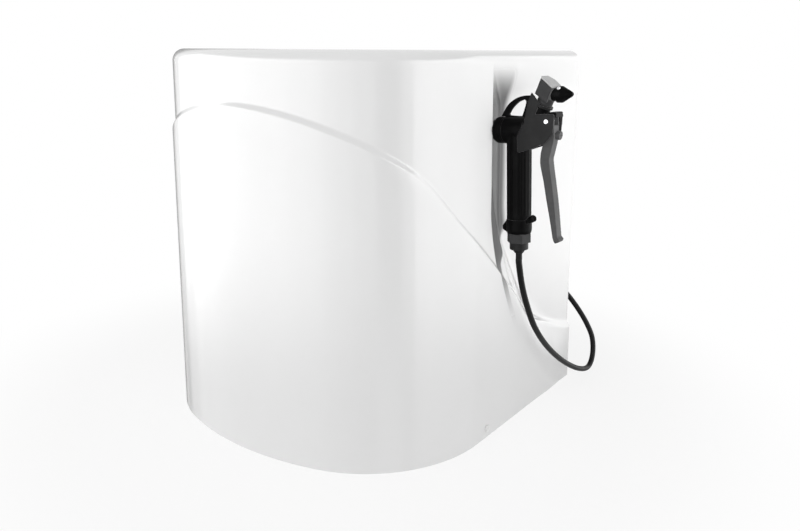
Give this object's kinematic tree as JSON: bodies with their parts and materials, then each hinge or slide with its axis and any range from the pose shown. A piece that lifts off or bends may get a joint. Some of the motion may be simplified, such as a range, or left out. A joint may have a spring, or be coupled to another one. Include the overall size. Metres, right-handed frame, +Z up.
{
  "type": "resin wash station",
  "caption": "Wall-backed wash station with a moulded D-shaped white cover over a tank and pump, and a squeeze gun on a hose at its side.",
  "frame": {"origin": "middle of the tray's underside, half way along the cover's depth", "axes": "+Z up, +X to the gun side, -Y to the front; the back and its wall rails face +Y"},
  "size_m": [0.5714, 0.505, 0.5],
  "materials": {
    "cover_white": "glossy moulded plastic, fine even skin",
    "frame_white": "semi-gloss moulded plastic",
    "painted_sheet": "light grey powder coat",
    "galvanised": "galvanised steel",
    "steel": "zinc-plated steel",
    "tank_plastic": "translucent natural polyethylene",
    "black_plastic": "black moulded nylon, fine grain",
    "grey_plastic": "dark grey moulded nylon",
    "light_plastic": "light grey moulded plastic",
    "white_plastic": "white plastic",
    "bowl_clear": "clear polycarbonate",
    "motor_paint": "dark grey enamel",
    "aluminium": "machined aluminium",
    "tube_clear": "milky flexible tube",
    "rubber": "black rubber",
    "hose_rubber": "black smooth hose"
  },
  "bodies": {
    "station": {"cover": "cover_white", "cover_frame": "frame_white", "back_plate": "painted_sheet", "wall_rails": "galvanised", "base_tray": "painted_sheet", "side_screws": "white_plastic", "cover_screws": "steel", "frame_screws": "steel", "tank": "tank_plastic", "tank_brackets": "galvanised", "filter_head": "black_plastic", "filter_bowl": "bowl_clear", "filter_bracket": "galvanised", "pump_base": "galvanised", "pump_feet": "rubber", "motor_case": "motor_paint", "pump_head": "black_plastic", "pump_screws": "steel", "suction_tube": "tube_clear", "feed_tube": "tube_clear", "pressure_tube": "tube_clear", "outlet_elbow": "black_plastic", "outlet_nut": "black_plastic", "power_inlet": "black_plastic", "gun_holder": "black_plastic", "hose": "hose_rubber"},
    "gun": {"gun_body": "black_plastic", "valve_cap": "black_plastic", "valve_spring": "steel", "stem_seal": "rubber", "cheek_plates": "grey_plastic", "pivot_pin": "aluminium", "neck_ring": "grey_plastic", "collar": "black_plastic", "union_nut": "grey_plastic", "gland_nut": "grey_plastic", "strain_relief": "rubber"},
    "stem": {"valve_stem": "steel"},
    "lever": {"lever": "grey_plastic"},
    "adjuster": {"adjuster": "grey_plastic"},
    "spray_head": {"turret": "grey_plastic", "turret_cap": "light_plastic", "nozzle": "black_plastic", "nozzle_screw": "steel"},
    "flow_knob": {"flow_knob": "black_plastic"},
    "tank_cap": {"tank_cap": "black_plastic"},
    "rotor": {"motor_rotor": "steel"}
  },
  "joints": [
    {"name": "gun_lift", "type": "slide", "parent": "station", "child": "gun", "axis": [0.9986, 0, 0.0523], "range_m": [0, 0.06]},
    {"name": "lever_squeeze", "type": "hinge", "parent": "gun", "child": "lever", "pos_m": [0.30014, -0.001, 0.42111], "axis": [0, 1, 0], "range_deg": [0, 8.4], "stiffness_Nm_per_rad": 0.5, "springref_deg": -5.73},
    {"name": "stem_push", "type": "slide", "parent": "gun", "child": "stem", "axis": [-0.9986, 0, -0.0523], "range_m": [0, 0.0021]},
    {"name": "adjuster_turn", "type": "hinge", "parent": "lever", "child": "adjuster", "pos_m": [0.30956, -0.001, 0.40558], "axis": [0.9962, 0, -0.0872], "range_deg": [-180, 180]},
    {"name": "head_turn", "type": "hinge", "parent": "gun", "child": "spray_head", "pos_m": [0.28892, -0.001, 0.43454], "axis": [0.3584, 0, 0.9336], "range_deg": [0, 180]},
    {"name": "flow_turn", "type": "hinge", "parent": "gun", "child": "flow_knob", "pos_m": [0.26639, -0.001, 0.29116], "axis": [0.8124, -0.3047, 0.4972], "range_deg": [0, 270]},
    {"name": "cap_turn", "type": "hinge", "parent": "station", "child": "tank_cap", "pos_m": [0, -0.075, 0.335], "axis": [0, 0, 1], "range_deg": [0, 360]},
    {"name": "motor_turn", "type": "hinge", "parent": "station", "child": "rotor", "pos_m": [-0.06, 0.13, 0.072], "axis": [1, 0, 0], "continuous": true}
  ],
  "couplings": [
    {"joint": "stem_push", "follows": "lever_squeeze", "m_per_rad": 0.014}
  ]
}
